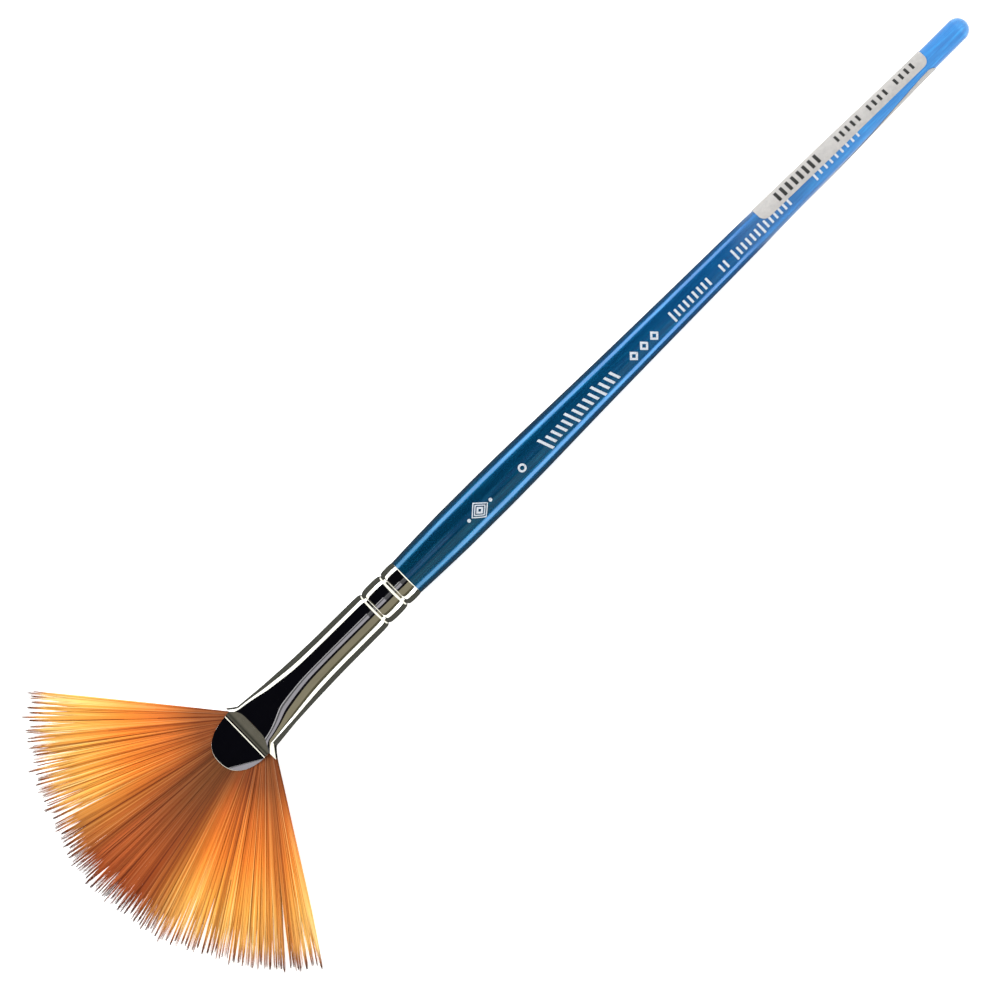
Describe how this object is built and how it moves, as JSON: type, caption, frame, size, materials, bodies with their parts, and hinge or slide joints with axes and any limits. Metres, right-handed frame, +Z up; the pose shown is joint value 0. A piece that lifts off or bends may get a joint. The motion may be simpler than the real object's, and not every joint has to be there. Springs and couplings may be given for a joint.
{
  "type": "fan paint brush",
  "caption": "Flat fan-shaped synthetic paint brush with a crimped nickel ferrule pressed flat at its mouth and a tapered blue lacquered wooden handle.",
  "frame": {"origin": "on the brush's axis, in the middle of the straight grip band where the handle is thickest", "axes": "+X along the axis from the hair towards the end of the handle; the fan lies flat in the XY plane; +Z is up, out of the fan's flat face"},
  "size_m": [0.2052, 0.0647, 0.0076],
  "materials": {
    "lacquered_wood": "pearl blue lacquer, high gloss",
    "wood_glue": "set glue film",
    "nickel": "bright nickel plate",
    "epoxy": "set amber resin",
    "thread": "waxed thread",
    "hair_root": "packed synthetic filaments",
    "label_paper": "white coated paper, semi-matt",
    "hair": "golden synthetic filaments, soft sheen"
  },
  "bodies": {
    "shaft": {"handle": "lacquered_wood", "handle_glue": "wood_glue", "ferrule": "nickel", "epoxy_plug": "epoxy", "binding_thread": "thread", "hair_root": "hair_root", "label": "label_paper"},
    "tuft": {"hair_lock_01": "hair", "hair_lock_02": "hair", "hair_lock_03": "hair", "hair_lock_04": "hair", "hair_lock_05": "hair", "hair_lock_06": "hair", "hair_lock_07": "hair", "hair_lock_08": "hair", "hair_lock_09": "hair", "hair_lock_10": "hair", "hair_lock_11": "hair", "hair_lock_12": "hair", "hair_lock_13": "hair", "hair_lock_14": "hair", "hair_lock_15": "hair", "hair_lock_16": "hair"}
  },
  "joints": [
    {"name": "tuft_flex", "type": "hinge", "parent": "shaft", "child": "tuft", "pos_m": [-0.0605, 0, 0], "axis": [0, 1, 0], "range_deg": [-35, 35], "stiffness_Nm_per_rad": 0.015}
  ]
}
